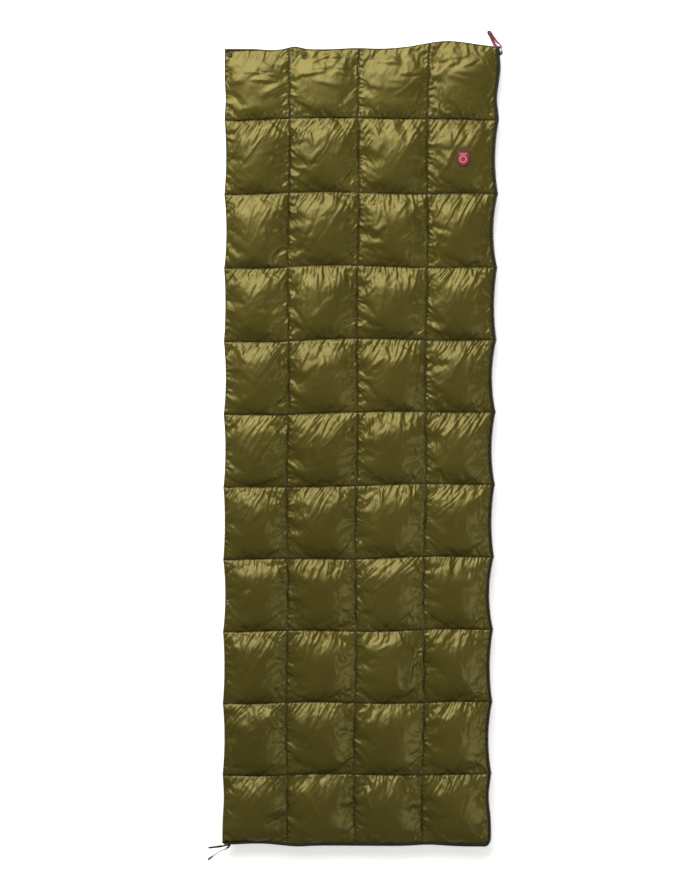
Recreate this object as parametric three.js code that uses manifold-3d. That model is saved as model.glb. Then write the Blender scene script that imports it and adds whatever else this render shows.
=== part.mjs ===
// A down camp quilt, folded in half along its left side and zipped along its right side and its foot.
// Millimetres. X runs across the folded quilt, with the fold at -X. Y runs along it, with the open head
// end at +Y. Z is up, and the lower half lies on Z = 0.
import * as THREE from "three";
import { mergeVertices } from "three/addons/utils/BufferGeometryUtils.js";
import Module from "manifold-3d";

const wasm = await Module();
wasm.setup();

// Driving dimensions: the quilt
const LENGTH = 2000;        // head edge to foot edge
const WIDTH = 680;          // fold to zipped edge
const HALF_LOFT = 34;       // thickness of one half, from its crowns to the plane where the halves meet
const COLUMNS = 4;          // chambers across one half
const ROWS = 11;            // chambers along it
const ROW_PITCH = 183;      // seam to seam, for every row but the first and the last
const FOLD_TAKE_UP = 10;    // what the fold takes from the visible width of its column
const CROWN_START = 0.25;   // share of a chamber over which its surface climbs to the crown
const FABRIC = 0.8;         // one layer of shell or lining, with its seam allowance
const LAYER_GAP = 1.6;      // between shell and lining along a sewn line
const FILL_CLEARANCE = 0.3; // between the down and the fabric around it
const FILL_INSET = 0.4;     // from the down's edge to the sewn line beside it
const LINING_GAP = 6;       // between the two linings, where a sleeper goes in

// Heights of the sewn layers above the plane where the halves meet
const SEAM_HEIGHT = 11;     // along every quilted line
const HEAD_HEIGHT = 5.4;    // along the head hem
const ZIP_HEIGHT = 7.9;     // along the zipped edges
const FOLD_HEIGHT = 2;      // at the fold itself
const FOLD_LIP = 1.5;       // width of the turned edge at the fold
const HEAD_HEM = 22;        // flat hem at the open end

// Driving dimensions: trim and hardware
const GAP = 0.3;            // between pieces that touch
const BINDING = 0.6;        // thickness of the folded tape over the head hem
const BINDING_LIP = 6;      // how far it reaches over the hem
const TAPE = 0.8;           // thickness of the woven zip tape
const TAPE_HEIGHT = 10.5;   // from the meeting plane to the tape's sewn edge
const TAPE_START = 0.8;     // from the meeting plane to the tape's toothed edge
const COIL_DEPTH = 2.6;     // how far the coil stands out from the tape
const COIL_HEIGHT = 2.2;    // half of the closed chain
const CORNER_RADIUS = 14;   // of the zip at the foot corner
const STOP_LENGTH = 2.5;
const SLIDER_LENGTH = 9;
const SLIDER_PLATE = 1.2;
const SLIDER_HEIGHT = 10;
const SLIDER_INNER_HEIGHT = 6.4; // the plate inside the quilt, which passes between the linings
const SLIDER_CLEARANCE = 0.4;
const SLIDER_BLADE = 0.8;   // thickness of the wedge between the two coils
const EAR = 1.2;            // thickness of each ear that holds the pull's pin
const EAR_RIM = 0.8;        // around the pin
const PIN_RADIUS = 0.7;
const TAB_LENGTH = 13;
const TAB_WIDTH = 4.6;
const TAB_THICKNESS = 3;
const TAB_HOLE = 1.1;
const HEAD_SLIDER_INSET = 7;  // from the head edge to the top slider's middle
const FOOT_SLIDER_INSET = 17; // from the fold to the foot slider's middle
const TAIL_LENGTH = 48;       // free end of tape past the foot slider
const TAIL_HEIGHT = 18;
const TAIL_THICKNESS = 0.9;
const TAIL_DROP = 8;          // how far the tail swings out towards the foot
const STUD_RADIUS = 6;
const STUD_INSET = 13.5;      // from the head edge
const STUD_OFFSETS = [12, 198]; // from the fold
const BADGE_WIDTH = 34;
const BADGE_HEIGHT = 40;
const BADGE_THICKNESS = 0.9;
const BADGE_ROW = 1;          // counted from the head
const BADGE_COLUMN = 3;       // counted from the fold
const RIBBON_RADIUS = 1.5;
const CORD_RADIUS = 1;
const CORD_END_RADIUS = 2.3;
const CORD_END_LENGTH = 15;
const CORD_SIDES = 8;

// Places worked out from them
const MEET = HALF_LOFT;
const FOLD_X = -WIDTH / 2;
const ZIP_X = WIDTH / 2;
const FOOT_Y = -LENGTH / 2;
const HEAD_Y = LENGTH / 2;
const COLUMN_PITCH = (WIDTH + FOLD_TAKE_UP) / COLUMNS;
const END_ROW = (LENGTH - (ROWS - 2) * ROW_PITCH) / 2;
const FABRIC_EDGE_X = ZIP_X - GAP;
const FABRIC_FOOT_Y = FOOT_Y + GAP;
const FABRIC_HEAD_Y = HEAD_Y - BINDING - GAP;
const SHELL_CROWN = HALF_LOFT - SEAM_HEIGHT - LAYER_GAP / 2 - FABRIC;
const LINING_CROWN = SEAM_HEIGHT - LAYER_GAP / 2 - FABRIC - LINING_GAP / 2;
const COIL_INNER = TAPE + GAP;
const COIL_OUTER = COIL_INNER + COIL_DEPTH;
const PLATE_INNER = COIL_OUTER + SLIDER_CLEARANCE;
const PLATE_OUTER = PLATE_INNER + SLIDER_PLATE;
const PIVOT = PLATE_OUTER + GAP + TAB_WIDTH / 2;
const HEAD_SLIDER_Y = HEAD_Y - HEAD_SLIDER_INSET;
const FOOT_SLIDER_X = FOLD_X + FOOT_SLIDER_INSET;
const COIL_HEAD_Y = HEAD_SLIDER_Y + SLIDER_LENGTH / 2 + GAP;
const COIL_FOLD_X = FOOT_SLIDER_X - SLIDER_LENGTH / 2 - GAP;
const FOOT_PULL_ANGLE = THREE.MathUtils.degToRad(217);

const finish = {
  shell: { color: 0x6b6132, roughness: 0.42, metalness: 0 },
  lining: { color: 0x3c3a24, roughness: 0.55, metalness: 0 },
  down: { color: 0xeceae4, roughness: 0.95, metalness: 0 },
  tape: { color: 0x2a281c, roughness: 0.8, metalness: 0 },
  coil: { color: 0x1c1b16, roughness: 0.4, metalness: 0 },
  metal: { color: 0x55565a, roughness: 0.35, metalness: 0.9 },
  red: { color: 0xa31f24, roughness: 0.7, metalness: 0 },
  cord: { color: 0x8a8480, roughness: 0.8, metalness: 0 },
};

const quilt = new THREE.Group();
const cordNodes = [];

function add(name, geometry, look, parent = quilt) {
  const mesh = new THREE.Mesh(geometry, new THREE.MeshStandardMaterial(finish[look]));
  mesh.name = name;
  parent.add(mesh);
  return mesh;
}

// Solids from manifold-3d

function solidOf(geometry) {
  const bare = geometry.clone();
  bare.deleteAttribute("normal");
  bare.deleteAttribute("uv");
  const merged = mergeVertices(bare);
  const vertProperties = merged.attributes.position.array;
  const triVerts = new Uint32Array(merged.index.array);
  return new wasm.Manifold(new wasm.Mesh({ numProp: 3, vertProperties, triVerts }));
}

function geometryOf(solid) {
  const mesh = solid.getMesh();
  const geometry = new THREE.BufferGeometry();
  geometry.setAttribute("position", new THREE.BufferAttribute(mesh.vertProperties, 3));
  geometry.setIndex(new THREE.BufferAttribute(mesh.triVerts, 1));
  return geometry;
}

// A box from its two opposite corners.
function boxBetween([x0, y0, z0], [x1, y1, z1]) {
  const box = new THREE.BoxGeometry(x1 - x0, y1 - y0, z1 - z0);
  return box.translate((x0 + x1) / 2, (y0 + y1) / 2, (z0 + z1) / 2);
}

// The quilted layers: each is a grid of points with a top and a bottom surface.
// A grid line is { at, height, crown }: where it lies, the height of its sewn layers above the meeting
// plane, and 1 where the chambers stand at their full loft or 0 where they are sewn down. The lines along
// the two zipped edges are also marked zipped.

function chamberLines(from, to) {
  const climb = (to - from) * CROWN_START;
  return [from + climb, to - climb].map((at) => ({ at, height: SEAM_HEIGHT, crown: 1 }));
}

function seamLine(at) {
  return { at, height: SEAM_HEIGHT, crown: 0 };
}

function linesAcross() {
  const lines = [
    { at: FOLD_X, height: FOLD_HEIGHT, crown: 0 },
    { at: FOLD_X + FOLD_LIP, height: HEAD_HEIGHT, crown: 0 },
  ];
  for (let column = 0; column < COLUMNS; column++) {
    const right = ZIP_X - (COLUMNS - 1 - column) * COLUMN_PITCH;
    lines.push(...chamberLines(Math.max(right - COLUMN_PITCH, FOLD_X), right));
    if (column < COLUMNS - 1) lines.push(seamLine(right));
  }
  lines.push({ at: FABRIC_EDGE_X, height: ZIP_HEIGHT, crown: 0, zipped: true });
  return lines;
}

// Row 0 is at the head. Returns the two lines that a row's chambers are sewn to, head side first.
function rowEnds(row) {
  const head = row === 0 ? HEAD_Y - HEAD_HEM : HEAD_Y - END_ROW - (row - 1) * ROW_PITCH;
  const foot = row === ROWS - 1 ? FABRIC_FOOT_Y : HEAD_Y - END_ROW - row * ROW_PITCH;
  return [head, foot];
}

function rowLines(row) {
  const [head, foot] = rowEnds(row);
  const headLine = row === 0 ? { at: head, height: HEAD_HEIGHT, crown: 0 } : seamLine(head);
  const zipLine = { at: foot, height: ZIP_HEIGHT, crown: 0, zipped: true };
  const footLine = row === ROWS - 1 ? zipLine : seamLine(foot);
  return [footLine, ...chamberLines(foot, head), headLine];
}

function linesAlong() {
  const lines = [];
  for (let row = ROWS - 1; row >= 0; row--) lines.push(...rowLines(row).slice(row === ROWS - 1 ? 0 : 1));
  lines.push({ at: FABRIC_HEAD_Y, height: HEAD_HEIGHT, crown: 0 });
  return lines;
}

const sewnHeight = (a, b) => Math.min(a.height, b.height);
const shellInner = (a, b) => sewnHeight(a, b) + LAYER_GAP / 2 + SHELL_CROWN * a.crown * b.crown;
const shellOuter = (a, b) => shellInner(a, b) + FABRIC;
const liningOuter = (a, b) => sewnHeight(a, b) - LAYER_GAP / 2 - LINING_CROWN * a.crown * b.crown;
const liningInner = (a, b) => liningOuter(a, b) - FABRIC;
const fillTop = (a, b) => shellInner(a, b) - FILL_CLEARANCE;
const fillBottom = (a, b) => liningOuter(a, b) + FILL_CLEARANCE;

// The zip turns the foot corner on a radius, so the fabric's own corner is cut back by as much.
function cornerCut(a, b) {
  return a.zipped && b.zipped ? CORNER_RADIUS * (1 - Math.SQRT1_2) + GAP : 0;
}

// A closed solid between two height functions over a grid. side is 1 for the upper half of the quilt and
// -1 for the lower, whose heights run down from the meeting plane.
function quiltedSolid(across, along, inner, outer, side) {
  const points = [];
  for (const height of [inner, outer]) {
    for (const b of along) {
      for (const a of across) {
        const cut = cornerCut(a, b);
        points.push(a.at - cut, b.at + cut, MEET + side * height(a, b));
      }
    }
  }
  const columns = across.length;
  const layer = columns * along.length;
  const faces = [];
  const quad = (p, q, r, s) => faces.push(p, q, r, p, r, s);
  for (let j = 0; j < along.length - 1; j++) {
    for (let i = 0; i < columns - 1; i++) {
      const [p, q, r, s] = [j * columns + i, j * columns + i + 1, (j + 1) * columns + i + 1, (j + 1) * columns + i];
      quad(p + layer, q + layer, r + layer, s + layer);
      faces.push(p, r, q, p, s, r);
    }
  }
  const rim = [];
  for (let i = 0; i < columns - 1; i++) rim.push(i);
  for (let j = 0; j < along.length - 1; j++) rim.push(j * columns + columns - 1);
  for (let i = columns - 1; i > 0; i--) rim.push((along.length - 1) * columns + i);
  for (let j = along.length - 1; j > 0; j--) rim.push(j * columns);
  rim.forEach((p, k) => {
    const q = rim[(k + 1) % rim.length];
    quad(p, q, q + layer, p + layer);
  });
  if (side < 0) faces.reverse();
  const geometry = new THREE.BufferGeometry();
  geometry.setAttribute("position", new THREE.Float32BufferAttribute(points, 3));
  geometry.setIndex(faces);
  return geometry;
}

// The down of one row, drawn back from the sewn lines around it.
function fillLines(lines) {
  const last = lines.length - 1;
  return lines.map((line, i) => {
    const inset = i === 0 ? FILL_INSET : i === last ? -FILL_INSET : 0;
    return { ...line, at: line.at + inset };
  });
}

// Trim and hardware in the upright plane of the zip

// Plan outline of a strip that follows the zip from the head to the fold, between two distances outside
// the fabric's edge.
function zipStrip(inner, outer, headY, foldX) {
  const centre = [ZIP_X - CORNER_RADIUS, FOOT_Y + CORNER_RADIUS];
  const shape = new THREE.Shape();
  shape.moveTo(ZIP_X + inner, headY);
  shape.lineTo(ZIP_X + inner, centre[1]);
  shape.absarc(centre[0], centre[1], CORNER_RADIUS + inner, 0, -Math.PI / 2, true);
  shape.lineTo(foldX, FOOT_Y - inner);
  shape.lineTo(foldX, FOOT_Y - outer);
  shape.lineTo(centre[0], FOOT_Y - outer);
  shape.absarc(centre[0], centre[1], CORNER_RADIUS + outer, -Math.PI / 2, 0, false);
  shape.lineTo(ZIP_X + outer, headY);
  return shape;
}

// Extrudes a plan outline between two heights above the meeting plane, on one side of it.
function upright(shape, low, high, side, curveSegments = 5) {
  const geometry = new THREE.ExtrudeGeometry(shape, { depth: high - low, bevelEnabled: false, curveSegments });
  return geometry.translate(0, 0, side > 0 ? MEET + low : MEET - high);
}

function mirroredBox(x, y, z, side) {
  const heights = z.map((value) => MEET + side * value).sort((a, b) => a - b);
  return boxBetween([x[0], y[0], heights[0]], [x[1], y[1], heights[1]]);
}

function headBinding(side) {
  const low = HEAD_HEIGHT - LAYER_GAP / 2 - FABRIC - GAP;
  const high = HEAD_HEIGHT + LAYER_GAP / 2 + FABRIC + GAP;
  const shape = new THREE.Shape();
  shape.moveTo(HEAD_Y, low - BINDING);
  shape.lineTo(HEAD_Y, high + BINDING);
  shape.lineTo(HEAD_Y - BINDING_LIP, high + BINDING);
  shape.lineTo(HEAD_Y - BINDING_LIP, high);
  shape.lineTo(HEAD_Y - BINDING, high);
  shape.lineTo(HEAD_Y - BINDING, low);
  shape.lineTo(HEAD_Y - BINDING_LIP, low);
  shape.lineTo(HEAD_Y - BINDING_LIP, low - BINDING);
  const start = FOLD_X + FOLD_LIP;
  const depth = ZIP_X - SLIDER_CLEARANCE - SLIDER_PLATE - SLIDER_CLEARANCE - start;
  const geometry = new THREE.ExtrudeGeometry(shape, { depth, bevelEnabled: false });
  // The outline was drawn as (Y, height), so the extrusion is turned to run along X.
  const turn = new THREE.Matrix4().set(0, 0, 1, start, 1, 0, 0, 0, 0, 1, 0, MEET, 0, 0, 0, 1);
  geometry.applyMatrix4(turn);
  return side > 0 ? geometry : mirrorInMeetingPlane(geometry);
}

function mirrorInMeetingPlane(geometry) {
  const mirrored = geometry.index ? geometry.toNonIndexed() : geometry;
  mirrored.applyMatrix4(new THREE.Matrix4().makeScale(1, 1, -1));
  mirrored.translate(0, 0, 2 * MEET);
  const position = mirrored.attributes.position;
  for (let i = 0; i < position.count; i += 3) {
    const keep = new THREE.Vector3().fromBufferAttribute(position, i + 1);
    const swap = new THREE.Vector3().fromBufferAttribute(position, i + 2);
    position.setXYZ(i + 1, swap.x, swap.y, swap.z);
    position.setXYZ(i + 2, keep.x, keep.y, keep.z);
  }
  return mirrored;
}

// A lathe profile of [radius, height] pairs, standing along Z at a point of the head hem.
function hemDisc(profile, x, side) {
  const disc = new THREE.LatheGeometry(profile.map(([r, z]) => new THREE.Vector2(r, z)), 16);
  disc.rotateX(Math.PI / 2);
  disc.translate(x, HEAD_Y - STUD_INSET, MEET);
  return side > 0 ? disc : mirrorInMeetingPlane(disc);
}

function studDomes(name, x, side) {
  const outside = HEAD_HEIGHT + LAYER_GAP / 2 + FABRIC + GAP;
  const inside = HEAD_HEIGHT - LAYER_GAP / 2 - FABRIC - GAP;
  const dome = [
    [0, outside],
    [STUD_RADIUS, outside],
    [STUD_RADIUS - 0.3, outside + 1],
    [STUD_RADIUS - 2, outside + 1.8],
    [0, outside + 2],
    [0, outside],
  ];
  const ring = [
    [0, inside - 1.6],
    [STUD_RADIUS - 2.4, inside - 1.6],
    [STUD_RADIUS - 1.2, inside - 0.6],
    [STUD_RADIUS - 1, inside],
    [0, inside],
    [0, inside - 1.6],
  ];
  const half = side > 0 ? "upper" : "lower";
  const [domeName, ringName] = side > 0 ? ["cap", "socket"] : ["base", "stud"];
  add(`${half}_press_${domeName}_${name}`, hemDisc(dome, x, side), "metal");
  add(`${half}_press_${ringName}_${name}`, hemDisc(ring, x, side), "metal");
}

// The slider in its own axes: it runs along Y, its outer plate faces +X, and the meeting plane is Z = 0.
// Its guide flange hooks round the lower coil only, which leaves the upper coil free to lift out.
function sliderGeometry() {
  const tall = SLIDER_HEIGHT / 2;
  const half = SLIDER_LENGTH / 2;
  const flangeLow = TAPE_START + COIL_HEIGHT + SLIDER_CLEARANCE;
  const innerFace = -SLIDER_CLEARANCE;
  const innerPlate = innerFace - SLIDER_PLATE;
  const parts = [
    boxBetween([PLATE_INNER, -half, -tall], [PLATE_OUTER, half, tall]),
    boxBetween([innerPlate, -half, -SLIDER_INNER_HEIGHT / 2], [innerFace, half, SLIDER_INNER_HEIGHT / 2]),
    boxBetween([innerPlate + 0.5, -half, -SLIDER_BLADE / 2], [PLATE_INNER + 0.5, half, SLIDER_BLADE / 2]),
  ];
  parts.push(boxBetween([COIL_INNER, -half, -tall], [PLATE_INNER + 0.5, half, -flangeLow]));
  for (const side of [-1, 1]) {
    const ear = [side * (TAB_THICKNESS / 2 + GAP), side * (TAB_THICKNESS / 2 + GAP + EAR)];
    ear.sort((a, b) => a - b);
    parts.push(boxBetween([PLATE_OUTER - 0.5, -2, ear[0]], [PIVOT + PIN_RADIUS + EAR_RIM, 2, ear[1]]));
  }
  const pin = new THREE.CylinderGeometry(PIN_RADIUS, PIN_RADIUS, TAB_THICKNESS + 2 * GAP + EAR, 12);
  parts.push(pin.rotateX(Math.PI / 2).translate(PIVOT, 0, 0));
  return geometryOf(parts.map(solidOf).reduce((whole, part) => whole.add(part)));
}

// The pull tab in its own axes: its pin hole is at the origin, and it points along +X.
function tabGeometry() {
  const shape = new THREE.Shape();
  const r = TAB_WIDTH / 2;
  shape.absarc(0, 0, r, Math.PI / 2, (3 * Math.PI) / 2, false);
  shape.lineTo(TAB_LENGTH - r, -r);
  shape.absarc(TAB_LENGTH - r, 0, r, -Math.PI / 2, Math.PI / 2, false);
  for (const [x, radius] of [[0, TAB_HOLE], [TAB_LENGTH - r, TAB_HOLE]]) {
    const hole = new THREE.Path();
    hole.absarc(x, 0, radius, 0, 2 * Math.PI, true);
    shape.holes.push(hole);
  }
  const options = { depth: TAB_THICKNESS, bevelEnabled: false, curveSegments: 8 };
  return new THREE.ExtrudeGeometry(shape, options).translate(0, 0, -TAB_THICKNESS / 2);
}

// A round cord along chosen points.
function cordGeometry(points, radius, steps) {
  const section = new THREE.Shape();
  for (let k = 0; k < CORD_SIDES; k++) {
    const turn = (2 * Math.PI * k) / CORD_SIDES;
    const [x, y] = [radius * Math.cos(turn), radius * Math.sin(turn)];
    if (k === 0) section.moveTo(x, y);
    else section.lineTo(x, y);
  }
  const extrudePath = new THREE.CatmullRomCurve3(points.map((p) => new THREE.Vector3(...p)));
  return new THREE.ExtrudeGeometry(section, { steps, bevelEnabled: false, extrudePath });
}

// The two halves

function addHalf(half, side) {
  const across = linesAcross();
  const along = linesAlong();
  add(`${half}_shell`, quiltedSolid(across, along, shellInner, shellOuter, side), "shell");
  add(`${half}_lining`, quiltedSolid(across, along, liningInner, liningOuter, side), "lining");
  for (let row = 0; row < ROWS; row++) {
    const name = `${half}_down_row_${String(row + 1).padStart(2, "0")}`;
    const fillAcross = fillLines(across.slice(1));
    const fillAlong = fillLines(rowLines(row));
    add(name, quiltedSolid(fillAcross, fillAlong, fillBottom, fillTop, side), "down");
  }
  add(`${half}_head_binding`, headBinding(side), "tape");
  const tape = zipStrip(0, TAPE, HEAD_Y, FOLD_X + GAP);
  add(`${half}_zip_tape`, upright(tape, TAPE_START, TAPE_HEIGHT, side), "tape");
  const coil = zipStrip(COIL_INNER, COIL_OUTER, COIL_HEAD_Y, COIL_FOLD_X);
  add(`${half}_zip_coil`, upright(coil, TAPE_START, TAPE_START + COIL_HEIGHT, side), "coil");
  const stopHeights = [TAPE_START, TAPE_START + COIL_HEIGHT + 1];
  const headStop = [COIL_HEAD_Y + GAP, COIL_HEAD_Y + GAP + STOP_LENGTH];
  const stopX = [ZIP_X + COIL_INNER, ZIP_X + COIL_OUTER];
  add(`${half}_top_stop`, mirroredBox(stopX, headStop, stopHeights, side), "metal");
  const footStop = [COIL_FOLD_X - GAP - STOP_LENGTH, COIL_FOLD_X - GAP];
  const stopY = [FOOT_Y - COIL_OUTER, FOOT_Y - COIL_INNER];
  add(`${half}_bottom_stop`, mirroredBox(footStop, stopY, stopHeights, side), "metal");
  studDomes("fold", FOLD_X + STUD_OFFSETS[0], side);
  studDomes("middle", FOLD_X + STUD_OFFSETS[1], side);
}

addHalf("upper", 1);
addHalf("lower", -1);

// Shield badge, lying on a crown of the upper shell

function badgeGeometry() {
  const [w, h] = [BADGE_WIDTH / 2, BADGE_HEIGHT / 2];
  const shape = new THREE.Shape();
  shape.moveTo(-w, h);
  shape.lineTo(-w, -h * 0.2);
  shape.quadraticCurveTo(-w, -h * 0.7, 0, -h);
  shape.quadraticCurveTo(w, -h * 0.7, w, -h * 0.2);
  shape.lineTo(w, h);
  return new THREE.ExtrudeGeometry(shape, { depth: BADGE_THICKNESS, bevelEnabled: false, curveSegments: 6 });
}

const badgeX = ZIP_X - (COLUMNS - 1 - BADGE_COLUMN + 0.5) * COLUMN_PITCH;
const badgeY = (rowEnds(BADGE_ROW)[0] + rowEnds(BADGE_ROW)[1]) / 2;
add("shield_badge", badgeGeometry().translate(badgeX, badgeY, MEET + HALF_LOFT + GAP), "red");

// The tape's free tail, past the foot slider at the fold corner

function tailGeometry() {
  const start = COIL_FOLD_X - GAP;
  const end = start - TAIL_LENGTH;
  const near = FOOT_Y - COIL_OUTER - GAP;
  const far = near - TAIL_DROP;
  const shape = new THREE.Shape();
  shape.moveTo(start, near);
  shape.lineTo(end, far);
  shape.lineTo(end, far - TAIL_THICKNESS);
  shape.lineTo(start, near - TAIL_THICKNESS);
  const options = { depth: TAIL_HEIGHT, bevelEnabled: false };
  return new THREE.ExtrudeGeometry(shape, options).translate(0, 0, MEET - TAIL_HEIGHT / 2);
}

add("foot_tape_tail", tailGeometry(), "tape");

// Top slider, at the head end of the long zip. Its ribbon loop hangs off the head edge to the ground.

const topSlider = new THREE.Group();
topSlider.position.set(ZIP_X, HEAD_SLIDER_Y, MEET);
quilt.add(topSlider);
add("top_slider_body", sliderGeometry(), "metal", topSlider);
const topTab = add("top_pull_tab", tabGeometry(), "metal", topSlider);
topTab.position.x = PIVOT;
topTab.rotation.z = Math.PI / 2;

const ribbonStart = [ZIP_X + PIVOT, HEAD_SLIDER_Y + TAB_LENGTH - TAB_WIDTH / 2 + RIBBON_RADIUS + 1.2, MEET];
// Offsets from the far end of the tab.
const RIBBON_ROUTE = [
  [-1.6, 1.3, -1.6],
  [-2.2, 3.2, -6],
  [-4.5, 4.2, -12.5],
  [-9.5, 5, -20],
  [-14, 8.5, -26.5],
  [-17, 14, -30.5],
  [-20, 21, -32],
  [-24, 29, -32.2],
  [-28.5, 36, -32.3],
  [-32, 40.5, -32.4],
  [-31.5, 44.5, -32.4],
  [-27.5, 43, -32.2],
  [-21.5, 35, -31.4],
  [-16.5, 27.5, -29.5],
  [-12, 21, -26],
  [-7.5, 15.5, -20.5],
  [-3.6, 10.8, -13.5],
  [-0.6, 6.2, -6.5],
  [0.9, 2.2, -1.8],
];
const ribbonPoints = RIBBON_ROUTE.map((step) => step.map((value, k) => ribbonStart[k] + value));
add("top_pull_ribbon", cordGeometry(ribbonPoints, RIBBON_RADIUS, 44), "red");
cordNodes.push("top_pull_ribbon");

// Foot slider, at the fold end of the foot zip, with its cord and cord end

const footSlider = new THREE.Group();
footSlider.position.set(FOOT_SLIDER_X, FOOT_Y, MEET);
footSlider.rotation.z = -Math.PI / 2;
quilt.add(footSlider);
add("foot_slider_body", sliderGeometry(), "metal", footSlider);
const footTab = add("foot_pull_tab", tabGeometry(), "metal", quilt);
footTab.position.set(FOOT_SLIDER_X, FOOT_Y - PIVOT, MEET);
footTab.rotation.z = FOOT_PULL_ANGLE;

const pullDirection = [Math.cos(FOOT_PULL_ANGLE), Math.sin(FOOT_PULL_ANGLE)];
// Distance along the pull from its pin, height above the ground.
const CORD_ROUTE = [
  [TAB_LENGTH + 0.2, 31],
  [TAB_LENGTH + 4, 27.4],
  [TAB_LENGTH + 8.5, 20.5],
  [TAB_LENGTH + 13.5, 13],
  [TAB_LENGTH + 19.5, 7.2],
  [TAB_LENGTH + 27, 4],
  [TAB_LENGTH + 35, 2.9],
  [TAB_LENGTH + 42, 2.6],
];
const alongPull = ([distance, height]) => [
  FOOT_SLIDER_X + pullDirection[0] * distance,
  FOOT_Y - PIVOT + pullDirection[1] * distance,
  height,
];
add("foot_pull_cord", cordGeometry(CORD_ROUTE.map(alongPull), CORD_RADIUS, 20), "cord");
cordNodes.push("foot_pull_cord");

function cordEndGeometry() {
  const r = CORD_END_RADIUS;
  const profile = [[0, 0], [r * 0.7, 0], [r, 2], [r, CORD_END_LENGTH - 2], [r * 0.6, CORD_END_LENGTH], [0, CORD_END_LENGTH], [0, 0]];
  return new THREE.LatheGeometry(profile.map(([x, y]) => new THREE.Vector2(x, y)), 12);
}

const cordEnd = add("foot_pull_end", cordEndGeometry(), "red");
const endStart = alongPull([CORD_ROUTE.at(-1)[0] + GAP, CORD_ROUTE.at(-1)[1]]);
cordEnd.position.set(...endStart);
cordEnd.rotation.z = FOOT_PULL_ANGLE - Math.PI / 2;
cordNodes.push("foot_pull_end");

// The origin is the middle of the underside of everything but the pulls' cords.

quilt.updateMatrixWorld(true);
const reach = new THREE.Box3();
quilt.traverse((piece) => {
  if (piece.isMesh && !cordNodes.includes(piece.name)) reach.expandByObject(piece, true);
});
const middle = reach.getCenter(new THREE.Vector3());
quilt.position.set(-middle.x, -middle.y, 0);

export default quilt;
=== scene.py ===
"""Folded and zipped down camp quilt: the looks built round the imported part, in metres, in the part's own frame."""
import math

import bmesh
import bpy
import numpy as np
from mathutils import Matrix, Vector


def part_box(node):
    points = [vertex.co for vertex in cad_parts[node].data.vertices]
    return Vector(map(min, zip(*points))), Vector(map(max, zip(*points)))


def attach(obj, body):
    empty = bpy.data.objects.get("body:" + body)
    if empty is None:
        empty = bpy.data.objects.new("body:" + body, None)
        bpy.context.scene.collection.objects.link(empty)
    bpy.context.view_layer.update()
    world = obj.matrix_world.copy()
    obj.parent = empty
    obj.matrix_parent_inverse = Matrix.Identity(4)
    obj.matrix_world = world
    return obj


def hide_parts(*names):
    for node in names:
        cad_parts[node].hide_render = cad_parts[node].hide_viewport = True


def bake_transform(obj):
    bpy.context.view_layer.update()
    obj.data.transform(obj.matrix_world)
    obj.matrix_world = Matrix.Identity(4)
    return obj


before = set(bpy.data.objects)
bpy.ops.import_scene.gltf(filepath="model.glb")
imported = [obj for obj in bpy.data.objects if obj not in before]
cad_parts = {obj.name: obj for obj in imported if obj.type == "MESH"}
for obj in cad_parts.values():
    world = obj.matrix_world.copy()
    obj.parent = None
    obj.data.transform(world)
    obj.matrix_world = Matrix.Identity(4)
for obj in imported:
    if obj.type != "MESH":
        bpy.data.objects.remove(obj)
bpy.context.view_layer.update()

FOLD_X = -0.32705
ZIP_X = 0.35295
FOOT_Y = -0.994682
HEAD_Y = 1.005318
MID_Z = 0.034
COLUMN_STOPS = (FOLD_X, -0.16455, 0.00795, 0.18045, ZIP_X)
ROW_PITCH = 0.183
FIRST_SEAM_Y = 0.82882
ROW_STOPS = (FOOT_Y, *[FIRST_SEAM_Y - k * ROW_PITCH for k in range(9, -1, -1)], HEAD_Y)
CORNER_RADIUS = 0.014
SEAM_HEIGHT = 0.011
ZIP_HEIGHT = 0.0079
FOLD_HEIGHT = 0.002
HEAD_HEIGHT = 0.0054
CROWN = 0.0225
STUD_PLACES = ((-0.31505, 0.99182), (-0.12905, 0.99182))
ZIP_SCALLOP = 0.0095
FOLD_SCALLOP = 0.0045
LIFT = CROWN / 0.024


# ---------------------------------------------------------------- camera, light and floor

def add_camera():
    data = bpy.data.cameras.new("camera")
    data.sensor_fit = "VERTICAL"
    data.sensor_height = 36
    data.lens = 89.33
    camera = bpy.data.objects.new("camera", data)
    camera.location = (-0.0118, 0.3906, 5.6)
    camera.rotation_euler = (-0.06711, 0, 0.00678)
    bpy.context.scene.collection.objects.link(camera)
    bpy.context.scene.camera = camera


def add_area_light(name, place, aim, size, watts, colour=(1, 1, 1)):
    data = bpy.data.lights.new(name, "AREA")
    data.shape = "RECTANGLE"
    data.size, data.size_y = size
    data.energy = watts
    data.color = colour
    light = bpy.data.objects.new(name, data)
    light.location = place
    light.rotation_euler = (Vector(aim) - Vector(place)).to_track_quat("-Z", "Y").to_euler()
    bpy.context.scene.collection.objects.link(light)


def add_lights():
    add_area_light("key", (-1.3, 3.1, 2.9), (0.0, 0.2, 0.0), (4.4, 3.1), 315)
    add_area_light("fill", (2.6, -1.6, 2.6), (0, -0.5, 0), (2.0, 2.0), 26)
    world = bpy.data.worlds.new("studio")
    world.use_nodes = True
    world.node_tree.nodes["Background"].inputs["Color"].default_value = (1, 0.97, 0.9, 1)
    world.node_tree.nodes["Background"].inputs["Strength"].default_value = 0.33
    bpy.context.scene.world = world
    bpy.context.scene.view_settings.view_transform = "Standard"


# ---------------------------------------------------------------- mesh helpers

def mesh_object(name, points, faces, material, smooth=True):
    mesh = bpy.data.meshes.new(name)
    mesh.from_pydata(np.asarray(points, float).tolist(), [], faces)
    mesh.update()
    if smooth:
        mesh.polygons.foreach_set("use_smooth", [True] * len(mesh.polygons))
    mesh.materials.append(material)
    piece = bpy.data.objects.new(name, mesh)
    bpy.context.scene.collection.objects.link(piece)
    return piece


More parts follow.
